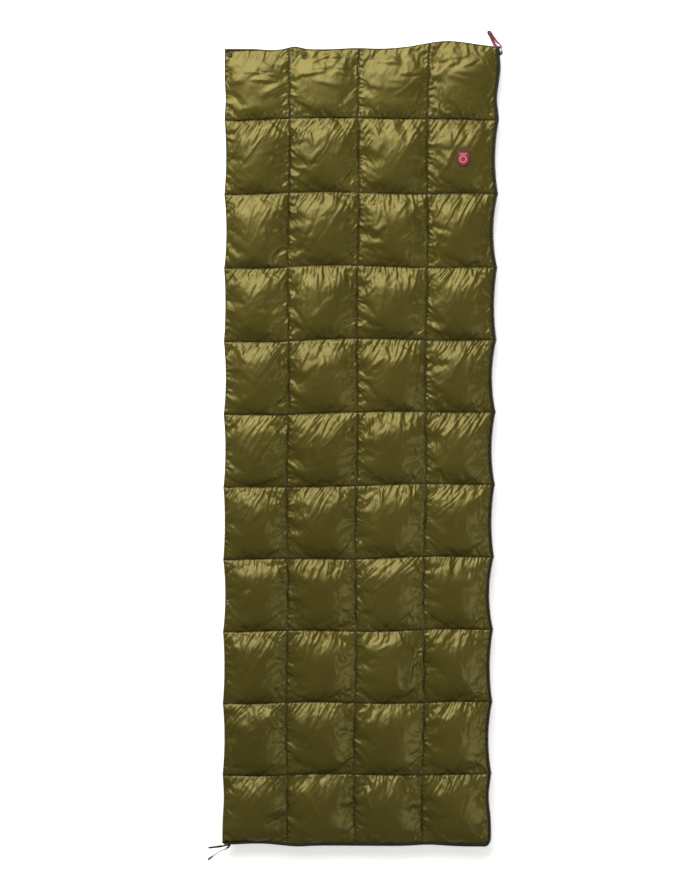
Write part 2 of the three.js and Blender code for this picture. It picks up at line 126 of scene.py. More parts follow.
def grid_faces(rows, columns, wrap_rows=False, wrap_columns=False):
    """Quads of a grid of rows x columns points, joined end to end where wrapped."""
    i = np.arange(rows if wrap_rows else rows - 1)
    j = np.arange(columns if wrap_columns else columns - 1)
    i, j = np.meshgrid(i, j, indexing="ij")
    i2, j2 = (i + 1) % rows, (j + 1) % columns
    quads = np.stack([i * columns + j, i * columns + j2, i2 * columns + j2, i2 * columns + j], -1)
    return quads.reshape(-1, 4).tolist()


def tube(name, sections, material):
    """A closed body: one closed ring of points after another, with both ends capped."""
    sections = np.asarray(sections, float)
    count, ring = sections.shape[:2]
    faces = grid_faces(count, ring, wrap_columns=True)
    faces.append(list(range(ring - 1, -1, -1)))
    faces.append([(count - 1) * ring + k for k in range(ring)])
    return outward(mesh_object(name, sections.reshape(-1, 3), faces, material))


def outward(piece):
    """Turns the faces so that each closed body faces out."""
    work = bmesh.new()
    work.from_mesh(piece.data)
    bmesh.ops.recalc_face_normals(work, faces=work.faces)
    work.to_mesh(piece.data)
    work.free()
    return piece


def apply_modifiers(piece):
    """Gives the piece the mesh that its modifiers make of it."""
    shown = piece.evaluated_get(bpy.context.evaluated_depsgraph_get())
    result = bpy.data.meshes.new_from_object(shown)
    piece.modifiers.clear()
    piece.data = result


def finish_piece(piece, body, slot, *nodes):
    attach(piece, body)
    if nodes:
        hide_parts(*nodes)
    return piece


# ---------------------------------------------------------------- materials

def new_material(name, colour, roughness, metallic=0.0):
    material = bpy.data.materials.new(name)
    material.use_nodes = True
    shader = material.node_tree.nodes["Principled BSDF"]
    shader.inputs["Base Color"].default_value = (*colour, 1)
    shader.inputs["Roughness"].default_value = roughness
    shader.inputs["Metallic"].default_value = metallic
    return material


def node(material, kind, **values):
    made = material.node_tree.nodes.new(kind)
    for key, value in values.items():
        if hasattr(made, key):
            setattr(made, key, value)
        else:
            made.inputs[key.replace("_", " ").title()].default_value = value
    return made


def link(material, source, output, target, socket):
    material.node_tree.links.new(source.outputs[output], target.inputs[socket])


def mottle(material, dark, light, scale):
    """The base colour wanders between two close tones. Gives the nodes that other looks build on."""
    place = node(material, "ShaderNodeTexCoord")
    noise = node(material, "ShaderNodeTexNoise", scale=scale, detail=4.0)
    ramp = node(material, "ShaderNodeValToRGB")
    ramp.color_ramp.elements[0].position = 0.35
    ramp.color_ramp.elements[1].position = 0.65
    ramp.color_ramp.elements[0].color = (*dark, 1)
    ramp.color_ramp.elements[1].color = (*light, 1)
    link(material, place, "Object", noise, "Vector")
    link(material, noise, "Fac", ramp, "Fac")
    shader = material.node_tree.nodes["Principled BSDF"]
    link(material, ramp, "Color", shader, "Base Color")
    return place, noise, ramp, shader


WEAVE_DEPTH = 0.0001


def weave(material, place, shader, pitch, strength):
    """A plain weave: two crossed sets of fine threads in the bump."""
    scale = math.tau / (20 * pitch)
    waves = []
    for direction in ("X", "Y"):
        wave = node(material, "ShaderNodeTexWave", wave_type="BANDS", bands_direction=direction)
        wave.inputs["Scale"].default_value = scale
        link(material, place, "Object", wave, "Vector")
        waves.append(wave)
    both = node(material, "ShaderNodeMath", operation="MULTIPLY")
    material.node_tree.links.new(waves[0].outputs["Fac"], both.inputs[0])
    material.node_tree.links.new(waves[1].outputs["Fac"], both.inputs[1])
    bump = node(material, "ShaderNodeBump")
    bump.inputs["Strength"].default_value = strength
    bump.inputs["Distance"].default_value = WEAVE_DEPTH
    material.node_tree.links.new(both.outputs[0], bump.inputs["Height"])
    material.node_tree.links.new(bump.outputs["Normal"], shader.inputs["Normal"])


def paint_seam_shade(material, ramp, shader, share):
    """Painted shade: the cloth's colour is darkened toward near black where it is drawn together along a sewn line,
    where shade falls in the seam.
    """
    seam_shade = node(material, "ShaderNodeAttribute", attribute_name="seam_shade")
    amount = node(material, "ShaderNodeMath", operation="MULTIPLY")
    amount.inputs[1].default_value = share
    # The painted seam shade: the colour is mixed toward near black by the seam mask.
    mix = node(material, "ShaderNodeMix", data_type="RGBA")
    for socket in mix.inputs:
        if socket.name == "B" and socket.type == "RGBA":
            socket.default_value = (0.012, 0.010, 0.003, 1)
        if socket.name == "A" and socket.type == "RGBA":
            material.node_tree.links.new(ramp.outputs["Color"], socket)
    material.node_tree.links.new(seam_shade.outputs["Fac"], amount.inputs[0])
    material.node_tree.links.new(amount.outputs[0], mix.inputs["Factor"])
    for socket in mix.outputs:
        if socket.type == "RGBA":
            material.node_tree.links.new(socket, shader.inputs["Base Color"])


def shell_material():
    material = new_material("olive_shell_nylon", (0.066, 0.053, 0.009), 0.37, 0.5)
    place, _, ramp, shader = mottle(material, (0.071, 0.0575, 0.0045), (0.089, 0.0725, 0.0085), 7)
    shader.inputs["Specular Tint"].default_value = (1.0, 0.92, 0.78, 1)
    # Painted shade along the sewn lines.
    paint_seam_shade(material, ramp, shader, 0.9)
    weave(material, place, shader, 0.0011, 0.25)
    return material


def lining_material():
    material = new_material("olive_lining_nylon", (0.06, 0.05, 0.012), 0.45, 0.25)
    place, _, ramp, shader = mottle(material, (0.046, 0.037, 0.006), (0.058, 0.047, 0.009), 7)
    shader.inputs["Specular Tint"].default_value = (1.0, 0.88, 0.5, 1)
    # Painted shade along the sewn lines.
    paint_seam_shade(material, ramp, shader, 0.7)
    weave(material, place, shader, 0.0012, 0.25)
    return material


def tape_material():
    material = new_material("dark_olive_tape", (0.014, 0.0135, 0.006), 0.75)
    place, _, _, shader = mottle(material, (0.011, 0.0105, 0.0045), (0.018, 0.017, 0.008), 60)
    shader.inputs["Specular IOR Level"].default_value = 0.25
    weave(material, place, shader, 0.0014, 0.6)
    return material


def hem_material():
    material = new_material("olive_hem", (0.035, 0.030, 0.008), 0.6)
    place, _, _, shader = mottle(material, (0.030, 0.026, 0.006), (0.042, 0.036, 0.010), 60)
    weave(material, place, shader, 0.0012, 0.4)
    return material


def coil_material():
    material = new_material("coil_nylon", (0.016, 0.016, 0.009), 0.4)
    mottle(material, (0.012, 0.012, 0.007), (0.021, 0.021, 0.012), 90)
    return material


def down_material():
    material = new_material("white_down", (0.8, 0.79, 0.76), 0.9)
    mottle(material, (0.74, 0.73, 0.70), (0.86, 0.85, 0.83), 120)
    return material


def metal_material(name, colour, roughness):
    material = new_material(name, colour, roughness, 1.0)
    dark = tuple(0.8 * c for c in colour)
    _, noise, _, shader = mottle(material, dark, colour, 700)
    bump = node(material, "ShaderNodeBump")
    bump.inputs["Strength"].default_value = 0.2
    bump.inputs["Distance"].default_value = 0.00005
    link(material, noise, "Fac", bump, "Height")
    link(material, bump, "Normal", shader, "Normal")
    return material


def ribbon_material():
    material = new_material("red_ribbon", (0.125, 0.005, 0.011), 0.6)
    place, _, ramp, shader = mottle(material, (0.10, 0.004, 0.008), (0.15, 0.007, 0.014), 180)
    # Painted shade where the ribbon's loop turns.
    paint_seam_shade(material, ramp, shader, 0.85)
    weave(material, place, shader, 0.0008, 0.7)
    return material


def cloth_material(name, dark, light):
    material = new_material(name, light, 0.65)
    place, _, _, shader = mottle(material, dark, light, 300)
    weave(material, place, shader, 0.0006, 0.7)
    return material


def thread_material():
    material = new_material("olive_thread", (0.035, 0.029, 0.006), 0.8)
    shader = mottle(material, (0.028, 0.023, 0.005), (0.045, 0.037, 0.009), 400)[-1]
    shader.inputs["Specular IOR Level"].default_value = 0.15
    return material


# ---------------------------------------------------------------- the quilt's own grid

def stops_to_lines(stops, cells):
    parts = [np.linspace(a, b, cells, endpoint=False) for a, b in zip(stops, stops[1:])]
    return np.append(np.concatenate(parts), stops[-1])


def place_in_span(values, stops):
    """For each value the number of its span and how far along it lies, from 0 to 1."""
    stops = np.asarray(stops)
    span = np.clip(np.searchsorted(stops, values, side="right") - 1, 0, len(stops) - 2)
    return span, np.clip((values - stops[span]) / (stops[span + 1] - stops[span]), 0, 1)


def smooth(t):
    t = np.clip(t, 0, 1)
    return t * t * (3 - 2 * t)


def head_wave(x):
    """How far the head edge stands beyond its straight line."""
    wave = 0.017 * np.exp(-((x - 0.215) / 0.105) ** 2)
    wave += 0.0062 * np.exp(-((x + 0.15) / 0.022) ** 2)
    wave += 0.0035 * np.exp(-((x - 0.0) / 0.05) ** 2)
    wave -= 0.0025 * np.exp(-((x + 0.21) / 0.03) ** 2)
    wave += 0.0062 * smooth((x - 0.12) / 0.13)
    return wave


def foot_wave(x):
    wave = 0.004 * np.exp(-((x + 0.235) / 0.06) ** 2)
    wave += 0.004 * np.exp(-((x - 0.2) / 0.05) ** 2)
    wave -= 0.003 * np.exp(-((x + 0.14) / 0.04) ** 2)
    return wave


def edge_scallop(y, depth):
    """How far an upright edge draws in between two row seams."""
    span, t = place_in_span(y, ROW_STOPS)
    sway = 1 + 0.22 * np.sin(span * 2.4 + 0.7)
    bay = np.sin(math.pi * t) ** 0.75 * depth * sway
    bay = np.where(span == 0, depth * 0.75 * np.exp(-((t - 0.68) / 0.26) ** 2), bay)
    at_head = 0.6 * np.exp(-((t - 0.3) / 0.2) ** 2) - 0.22 * np.exp(-((t - 0.7) / 0.13) ** 2)
    return np.where(span == len(ROW_STOPS) - 2, depth * at_head, bay)


def warp(points):
    """Sets flat places on the quilt to where they lie: edges drawn in by the fill, seams a little uneven."""
    points = np.array(points, float)
    x, y = points[..., 0].copy(), points[..., 1].copy()
    to_zip = smooth((x - COLUMN_STOPS[3]) / (ZIP_X - COLUMN_STOPS[3])) ** 1.4
    to_fold = smooth((COLUMN_STOPS[1] - x) / (COLUMN_STOPS[1] - FOLD_X)) ** 1.6
    to_head = smooth((y - FIRST_SEAM_Y) / (HEAD_Y - FIRST_SEAM_Y))
    to_foot = smooth((ROW_STOPS[1] - y) / (ROW_STOPS[1] - FOOT_Y))
    inner = 1 - np.maximum(to_zip, to_fold)
    points[..., 0] -= edge_scallop(y, ZIP_SCALLOP) * to_zip
    points[..., 0] += np.maximum(edge_scallop(y, FOLD_SCALLOP), 0) * to_fold
    points[..., 0] += (0.0020 * np.sin(y * 11.3 + x * 9 + 0.8) + 0.0013 * np.sin(y * 97 + x * 31)) * inner
    points[..., 1] += head_wave(x) * to_head + foot_wave(x) * to_foot
    sag = 0.0028 * np.sin(x * 13.1 + y * 4.7) * off_ends(y)
    points[..., 1] += sag * inner + row_rise(x, y)
    return points


def off_ends(y):
    """One along the quilt, falling to nothing at its head and its foot."""
    return np.sin(math.pi * np.clip((y - FOOT_Y) / (HEAD_Y - FOOT_Y), 0, 1)) ** 0.3


def row_rise(x, y):
    """The rows climb a little from the fold to the zip, and the first seam bows toward the head."""
    climb = 0.0078 * smooth((x - FOLD_X) / 0.3) + 0.005 * smooth(x / 0.3) * smooth((0.5 - y) / 0.6)
    bow = 0.0045 * np.exp(-((x - 0.03) / 0.17) ** 2 - ((y - FIRST_SEAM_Y) / 0.08) ** 2)
    return climb * off_ends(y) + bow


def seam_height(x, y):
    """Height of the sewn lines above the meeting plane: full inside, low at the edges."""
    t_zip = smooth((x - COLUMN_STOPS[3]) / (ZIP_X - COLUMN_STOPS[3])) ** 2
    t_fold = smooth((COLUMN_STOPS[1] - x) / (COLUMN_STOPS[1] - FOLD_X)) ** 2
    t_head = smooth((y - FIRST_SEAM_Y) / (HEAD_Y - FIRST_SEAM_Y)) ** 2
    t_foot = smooth((ROW_STOPS[1] - y) / (ROW_STOPS[1] - FOOT_Y)) ** 2
    high = SEAM_HEIGHT - (SEAM_HEIGHT - ZIP_HEIGHT) * np.maximum(t_zip, t_foot)
    high = high - (high - HEAD_HEIGHT) * t_head
    return high - (high - FOLD_HEIGHT) * t_fold


def round_corner(points):
    """Draws the zipped corner at the foot in to its radius."""
    points = np.array(points, float)
    a = points[..., 0] - (ZIP_X - CORNER_RADIUS)
    b = (FOOT_Y + CORNER_RADIUS) - points[..., 1]
    inside = (a > 0) & (b > 0)
    scale = np.where(inside, np.maximum(a, b) / np.maximum(np.hypot(a, b), 1e-9), 1)
    points[..., 0] = np.where(inside, ZIP_X - CORNER_RADIUS + a * scale, points[..., 0])
    points[..., 1] = np.where(inside, FOOT_Y + CORNER_RADIUS - b * scale, points[..., 1])
    return points


# ---------------------------------------------------------------- the filled cloth

SIM_COLUMN_CELLS = 30
SIM_ROW_CELLS = 33
FINE_COLUMN = 3
FINE_ROW = 2


def pillow(x, y):
    """The plain shape of filled chambers, which the simulation starts from."""
    u = place_in_span(x, COLUMN_STOPS)[1]
    v = place_in_span(y, ROW_STOPS)[1]
    return np.sin(math.pi * u) ** 0.6 * np.sin(math.pi * v) ** 0.6


def flat_grid(column_cells, row_cells):
    xs = stops_to_lines(COLUMN_STOPS, column_cells)
    ys = stops_to_lines(ROW_STOPS, row_cells)
    return np.meshgrid(xs, ys)


def fill_cloth():
    """Blows the sewn cloth up chamber by chamber and gives each grid point's move from flat."""
    x, y = flat_grid(SIM_COLUMN_CELLS, SIM_ROW_CELLS)
    rng = np.random.default_rng(11)
    start = pillow(x, y) * 0.006
    start = start + rng.normal(0, 0.00025, x.shape) * (start > 0)
    sewn = np.zeros(x.shape, bool)
    sewn[::SIM_ROW_CELLS] = True
    sewn[:, ::SIM_COLUMN_CELLS] = True
    start[sewn] = 0
    flat = np.stack([x, y, start], -1)
    piece = mesh_object("cloth", flat.reshape(-1, 3), grid_faces(*x.shape),
                        bpy.data.materials.new("cloth"))
    pins = piece.vertex_groups.new(name="sewn")
    pins.add(np.nonzero(sewn.ravel())[0].tolist(), 1, "REPLACE")
    push = piece.vertex_groups.new(name="push")
    for share, members in push_shares(x, y, rng):
        push.add(members, share, "REPLACE")
    run_cloth(piece, 16)
    moved = np.zeros(x.size * 3)
    piece.data.vertices.foreach_get("co", moved)
    bpy.data.objects.remove(piece)
    move = moved.reshape(flat.shape) - np.stack([x, y, np.zeros_like(x)], -1)
    move[..., 2] = np.maximum(move[..., 2], 0)
    return move


def push_shares(x, y, rng):
    """The down lies toward the foot of each chamber, some chambers hold more, and the head row holds little."""
    column = place_in_span(x, COLUMN_STOPS)[0]
    row, v = place_in_span(y, ROW_STOPS)
    share = 1 - 0.55 * np.clip((v - 0.35) / 0.65, 0, 1)
    share = share * rng.uniform(0.8, 1.0, (len(ROW_STOPS) - 1, len(COLUMN_STOPS) - 1))[row, column]
    share = np.where(row == len(ROW_STOPS) - 2, share * 0.55, share)
    steps = np.round(np.clip(share, 0, 1).ravel() * 24) / 24
    return [(float(s), np.nonzero(steps == s)[0].tolist()) for s in np.unique(steps)]


def run_cloth(piece, frames):
    cloth = piece.modifiers.new("cloth", "CLOTH")
    settings = cloth.settings
    settings.quality = 5
    settings.mass = 0.02
    settings.tension_stiffness = settings.compression_stiffness = 12
    settings.shear_stiffness = 3.6
    settings.bending_stiffness = 0.02
    settings.tension_damping = settings.compression_damping = settings.shear_damping = 5
    settings.vertex_group_mass = "sewn"
    settings.use_pressure = True
    settings.uniform_pressure_force = 3
    settings.vertex_group_pressure = "push"
    settings.shrink_min = settings.shrink_max = -0.06
    cloth.collision_settings.use_collision = False
    cloth.point_cache.frame_start = 1
    cloth.point_cache.frame_end = frames
    scene = bpy.context.scene
    scene.gravity = (-0.5, -2.4, 0)
    for step in range(1, frames + 1):
        scene.frame_set(step)
    apply_modifiers(piece)
    scene.frame_set(1)


def soften(field):
    """Evens a grid out a little."""
    for _ in range(2):
        field = field.copy()
        field[1:-1] = (field[:-2] + 2 * field[1:-1] + field[2:]) / 4
        field[:, 1:-1] = (field[:, :-2] + 2 * field[:, 1:-1] + field[:, 2:]) / 4
    return field


def finer(field):
    """Splits a grid's cells, FINE_COLUMN ways across and FINE_ROW ways along, and eases it between its sewn lines."""
    rows, columns = field.shape[:2]
    down = np.arange((rows - 1) * FINE_ROW + 1) / FINE_ROW
    over = np.arange((columns - 1) * FINE_COLUMN + 1) / FINE_COLUMN
    i = np.minimum(down.astype(int), rows - 2)
    j = np.minimum(over.astype(int), columns - 2)
    s, t = (down - i)[:, None, None], (over - j)[None, :, None]
    left = field[i][:, j] * (1 - s) + field[i + 1][:, j] * s
    right = field[i][:, j + 1] * (1 - s) + field[i + 1][:, j + 1] * s
    wide = left * (1 - t) + right * t
    eased = soften(wide)
    eased[::FINE_ROW * SIM_ROW_CELLS] = wide[::FINE_ROW * SIM_ROW_CELLS]
    eased[:, ::FINE_COLUMN * SIM_COLUMN_CELLS] = wide[:, ::FINE_COLUMN * SIM_COLUMN_CELLS]
    return eased


# ---------------------------------------------------------------- pleats and puckers

def ridge(across, width, lean=1.6):
    """A fold's section: a soft side and a steep side."""
    wide = np.where(across < 0, width * lean, width)
    return np.exp(-(across / wide) ** 2)


def chamber_pleats(across, down, wide, long, rng, strength):
    """Folds that start at the head seam of one chamber and fade down it."""
    height = np.zeros_like(across)
    lean = math.tan(rng.normal(-0.34, 0.24))
    start = -0.02
    while start < wide + 0.05:
        slope = lean + rng.normal(0, 0.17)
        reach = long * rng.uniform(0.25, 0.75)
        size = rng.uniform(0.45, 1.35) * strength
        width = rng.uniform(0.0017, 0.0032)
        off = (across - start - slope * down) / (1 + 1.0 * down / reach)
        fade = np.clip(1 - down / reach, 0, 1) ** 0.7 * np.clip(down / 0.003, 0, 1)
        height = np.maximum(height, ridge(off, width) * fade * size)
        start += rng.uniform(0.006, 0.0125)
    return height


def chamber_puckers(across, down, wide, long, rng, strength):
    """Short folds that run in from both upright seams."""
    height = np.zeros_like(across)
    for side in (0, 1):
        inward = across if side == 0 else wide - across
        start = 0.004
        while start < long - 0.003:
            slope = rng.normal(0.45, 0.4)
            reach = rng.uniform(0.008, 0.030)
            size = rng.uniform(0.5, 1.4) * strength
            width = rng.uniform(0.0018, 0.0032)
            off = down - start - slope * inward
            fade = np.clip(1 - inward / reach, 0, 1) ** 0.8 * np.clip(inward / 0.003, 0, 1)
            height = np.maximum(height, ridge(off, width) * fade * size)
            start += rng.uniform(0.006, 0.0115)
    return height


def foot_puckers(across, down, wide, long, rng, strength):
    """Short upright folds that rise from the seam at the foot of a slack chamber."""
    height = np.zeros_like(across)
    start = 0.003
    while start < wide:
        reach = rng.uniform(0.014, 0.042)
        rise = long - down
        off = across - start - rng.normal(0, 0.3) * rise
        fade = np.clip(1 - rise / reach, 0, 1) * np.clip(rise / 0.003, 0, 1)
        fold = ridge(off, rng.uniform(0.0018, 0.003)) * fade * strength * rng.uniform(0.5, 1.3)
        height = np.maximum(height, fold)
        start += rng.uniform(0.006, 0.011)
    return height


def chamber_facets(across, down, wide, long, rng, count, strength, turns):
    """A few long slanting folds over one chamber, each turned within turns from straight down."""
    height = np.zeros_like(across)
    for _ in range(count):
        turn = rng.uniform(*turns)
        x0, y0 = rng.uniform(0.15, 0.85) * wide, rng.uniform(0.12, 0.6) * long
        along = (across - x0) * math.sin(turn) * -1 + (down - y0) * math.cos(turn)
        off = (across - x0) * math.cos(turn) + (down - y0) * math.sin(turn)
        half = rng.uniform(0.02, 0.045)
        fade = np.clip(1 - (along / half) ** 2, 0, 1)
        fold = ridge(off, rng.uniform(0.0035, 0.007), 2.0) * fade * strength * rng.uniform(0.6, 1.3)
        height = np.maximum(height, fold)
    return height


def fold_field(x, y, seed, strength=0.0023):
    """All the small folds of one face as a height over its grid."""
    rng = np.random.default_rng(seed)
    height = np.zeros_like(x)
    column, u = place_in_span(x, COLUMN_STOPS)
    row, v = place_in_span(y, ROW_STOPS)
    last = len(ROW_STOPS) - 2
    for r in range(len(ROW_STOPS) - 1):
        for c in range(len(COLUMN_STOPS) - 1):
            here = (row == r) & (column == c)
            wide = COLUMN_STOPS[c + 1] - COLUMN_STOPS[c]
            long = ROW_STOPS[r + 1] - ROW_STOPS[r]
            across = u[here] * wide
            down = (1 - v[here]) * long
            slack = r == last
            ease = 0.62 + 0.38 * r / last
            place = (across, down, wide, long, rng)
            folds = chamber_pleats(*place, strength * (0.35 if slack else ease * rng.uniform(0.75, 1.15)))
            folds = np.maximum(folds, chamber_puckers(*place, strength * 1.1))
            turns = (0.9, 1.9) if slack else (-0.5, 1.0)
            count = 10 if slack else rng.integers(1, 4)
            folds = np.maximum(folds, chamber_facets(*place, count, strength * 1.1, turns))
            if slack:
                folds = np.maximum(folds, foot_puckers(*place, strength * 1.5))
            rim = np.minimum.reduce([across, wide - across, down, long - down])
            height[here] = folds * np.clip(rim / 0.0025, 0, 1)
    return height


def mark_seam_shade(piece, x, y, reach=0.0028):
    """Stores on each point how near it lies to a sewn line, as the mask for the painted seam shade; upright lines are
    broken up by their puckers.
    """
    to_column = np.abs(x[..., None] - np.array(COLUMN_STOPS)).min(-1)
    to_row = np.abs(y[..., None] - np.array(ROW_STOPS)).min(-1)
    bead = 0.42 + 0.32 * np.sin(y * 610 + 3 * np.sin(y * 83) + x * 40)
    beside = np.maximum(np.exp(-(to_column / reach) ** 2) * bead, 0.35 * np.exp(-(to_column / 0.008) ** 2))
    near = np.maximum(beside, np.exp(-(to_row / reach) ** 2))
    near = near.ravel().astype(np.float32)
    piece.data.attributes.new("seam_shade", "FLOAT", "POINT").data.foreach_set("value", near)


def normals(points):
    du = np.gradient(points, axis=1)
    dv = np.gradient(points, axis=0)
    n = np.cross(du, dv)
    return n / np.maximum(np.linalg.norm(n, axis=-1, keepdims=True), 1e-12)


# ---------------------------------------------------------------- the faces of the quilt

def face_points(x, y, move, folds, lift):
    """One outer face above the meeting plane: cloth moves, folds along its normal, edges warped."""
    rise = move[..., 2] * lift * (1 - 0.28 * smooth((y - FIRST_SEAM_Y) / 0.06))
    points = np.stack([x + move[..., 0], y + move[..., 1], rise + seam_height(x, y)], -1)
    points = points + normals(points) * folds[..., None]
    points[..., 1] = np.maximum(points[..., 1], FOOT_Y + 0.0004)
    points[..., 0] = np.minimum(points[..., 0], ZIP_X - 0.0002)
    points[..., 0] = np.maximum(points[..., 0], FOLD_X + 0.0002)
    points = warp(round_corner(inside_tape(points)))
    points[..., 2] = np.minimum(points[..., 2], 0.0345)
    return points


def inside_tape(points):
    """Draws the edge rows of the cloth in under the tape."""
    points = points.copy()
    points[..., 0] -= 0.0030 * smooth((points[..., 0] - ZIP_X + 0.04) / 0.04)
    points[..., 1] += 0.0018 * smooth((FOOT_Y + 0.04 - points[..., 1]) / 0.04)
    return points


def badge_rest(points, x, y):
    """The shell lies flat and smooth under the badge."""
    near = smooth(1.6 - np.hypot((x - 0.267) / 0.021, (y - 0.731) / 0.024))[..., None]
    level = points.copy()
    level[..., 2] = 0.0322
    return points + (level - points) * near * np.array([0, 0, 1])


def stud_rest(points, x, y):
    """The shell is pressed flat round each press stud."""
    for place in STUD_PLACES:
        near = smooth(1.9 - np.hypot(x - place[0], y - place[1]) / 0.0095)
        level = HEAD_HEIGHT + 0.0012
        points[..., 2] = points[..., 2] * (1 - near) + np.minimum(points[..., 2], level) * near
    return points


def build_faces(shell, lining):
    move = fill_cloth()
    x, y = flat_grid(SIM_COLUMN_CELLS, SIM_ROW_CELLS)
    fine_x, fine_y = flat_grid(FINE_COLUMN * SIM_COLUMN_CELLS, FINE_ROW * SIM_ROW_CELLS)
    top_move = finer(move)
    points = face_points(fine_x, fine_y, top_move, fold_field(fine_x, fine_y, 5), LIFT)
    points = stud_rest(badge_rest(points, fine_x, fine_y), fine_x, fine_y)
    points[..., 2] += MID_Z
    upper = mesh_object("upper_shell_fabric", points.reshape(-1, 3), grid_faces(*fine_x.shape), shell)
    # Mask for the painted shade along the seams.
    mark_seam_shade(upper, fine_x, fine_y)
    finish_piece(upper, "upper_half", "shell_nylon", "upper_shell")
    mirrored = move[:, ::-1] * np.array([-1, 1, 1])
    below = stud_rest(face_points(x, y, mirrored, fold_field(x, y, 23), LIFT), x, y)
    below[..., 2] = MID_Z - np.minimum(below[..., 2], MID_Z - 0.0006)
    lower = mesh_object("lower_shell_fabric", below.reshape(-1, 3), grid_faces(*x.shape), shell)
    lower.data.flip_normals()
    # Mask for the painted shade along the seams.
    mark_seam_shade(lower, x, y)
    finish_piece(lower, "lower_half", "shell_nylon", "lower_shell")
    upper_lining = lining_face("upper_lining_fabric", x, y, mirrored, 31, lining)
    finish_piece(upper_lining, "upper_half", "lining_nylon", "upper_lining")
    lower_lining = lining_face("lower_lining_fabric", x, y, move, 47, lining)
    lower_lining.data.transform(Matrix.Translation((0, 0, 2 * MID_Z)) @ Matrix.Diagonal((1, 1, -1, 1)))
    lower_lining.data.flip_normals()
    finish_piece(lower_lining, "lower_half", "lining_nylon", "lower_lining")
    down = down_material()
    rows = range(1, 12)
    upper_down = down_pods("upper_down_fill", move, 1, down)
    finish_piece(upper_down, "upper_half", "down", *[f"upper_down_row_{k:02d}" for k in rows])
    lower_down = down_pods("lower_down_fill", mirrored, -1, down)
    finish_piece(lower_down, "lower_half", "down", *[f"lower_down_row_{k:02d}" for k in rows])


def down_pods(name, move, sign, material):
    """The down of one half: a soft closed pod inside every chamber, clear of the cloth all round."""
    x, y = flat_grid(SIM_COLUMN_CELLS, SIM_ROW_CELLS)
    points, faces = [], []
    count = 9
    low = lowest_near(move[..., 2], 3)
    for r in range(len(ROW_STOPS) - 1):
        for c in range(len(COLUMN_STOPS) - 1):
            top = SIM_ROW_CELLS - (9 if r == len(ROW_STOPS) - 2 else 3)
            i = r * SIM_ROW_CELLS + np.linspace(3, top, count).astype(int)
            j = c * SIM_COLUMN_CELLS + np.linspace(3, SIM_COLUMN_CELLS - 3, count).astype(int)
            here = np.ix_(i, j)
            swell = np.maximum(low[here] - 0.002, 0)
            middle = seam_height(x[here], y[here]) - 0.0006
            rim = np.ones((count, count))
            rim[[0, -1]] = rim[:, [0, -1]] = 0
            for share, turned in ((0.6, False), (-0.22, True)):
                z = middle + swell * share * rim
                face = warp(np.stack([x[here], y[here], z], -1))
                face[..., 2] = MID_Z + sign * np.clip(face[..., 2], 0.001, 0.0315)
                base = len(points) * count * count
                quads = np.array(grid_faces(count, count)) + base
                faces += (quads[:, ::-1] if turned else quads).tolist()
                points.append(face.reshape(-1, 3))
    piece = mesh_object(name, np.concatenate(points), faces, material)
    weld(piece)
    return outward(piece)


def lowest_near(field, reach):
    """The least value within reach cells of each place."""
    padded = np.pad(field, reach)
    rows, columns = field.shape
    shifts = range(2 * reach + 1)
    return np.minimum.reduce([padded[i:i + rows, j:j + columns] for i in shifts for j in shifts])


def weld(piece):
    work = bmesh.new()
    work.from_mesh(piece.data)
    bmesh.ops.remove_doubles(work, verts=work.verts, dist=1e-6)
    work.to_mesh(piece.data)
    work.free()


def lining_face(name, x, y, move, seed, material):
    """The inner face of one half: sewn at the seams and full between them, down to the meeting plane."""
    base = np.maximum(seam_height(x, y) - 0.0009, 0.0012)
    swell = move * np.array([0.5, 0.5, 0.42])
    points = np.stack([x, y, np.zeros_like(x)], -1) + swell * np.array([1, 1, -1])
    points[..., 2] += base
    folds = fold_field(x, y, seed, 0.0012)
    points[..., 2] -= folds
    points = warp(round_corner(points))
    points[..., 2] = MID_Z + np.maximum(points[..., 2], 0.0006)
    piece = mesh_object(name, points.reshape(-1, 3), grid_faces(*x.shape), material)
    piece.data.flip_normals()
    # Mask for the painted shade along the seams.
    mark_seam_shade(piece, x, y)
    return piece


# ---------------------------------------------------------------- edges: tape, coil, hem and fold

SHORT_OF_FOLD = 0.006


def zip_path(step, start=0.0):
    """Places along the zipped edge with the way out from each: down the side, round the corner, along the foot."""
    side = HEAD_Y - (FOOT_Y + CORNER_RADIUS)
    arc = CORNER_RADIUS * math.pi / 2
    foot = (ZIP_X - CORNER_RADIUS) - FOLD_X - SHORT_OF_FOLD
    s = np.arange(start, side + arc + foot + step / 2, step)
    turn = np.clip((s - side) / arc, 0, 1) * math.pi / 2
    past = np.maximum(s - side - arc, 0)
    out = np.stack([np.cos(turn), -np.sin(turn)], -1)
    centre = np.stack([np.full_like(s, ZIP_X - CORNER_RADIUS) - past, HEAD_Y - np.minimum(s, side)], -1)
    return centre + out * CORNER_RADIUS, out, s


def edge_strip(name, section, material, sign):
    """A closed band along the zipped edge, from its section as (out, up) places; sign -1 hangs it below."""
    place, out, _ = zip_path(0.005)
    section = np.asarray(section, float)
    flat = place[:, None] + out[:, None] * section[None, :, :1]
    points = np.concatenate([flat, np.broadcast_to(section[None, :, 1:], (*flat.shape[:2], 1))], -1)
    points = warp(points)
    points[..., 2] = MID_Z + sign * points[..., 2]
    return tube(name, points, material)


TAPE_SECTION = [(-0.0042, 0.0090), (-0.0022, 0.0098), (0.0, 0.0101), (0.0012, 0.0092), (0.0014, 0.0070),
                (0.0012, 0.0011), (0.0005, 0.0009), (0.0003, 0.0068), (-0.0008, 0.0084), (-0.0022, 0.0084),
                (-0.0042, 0.0080)]


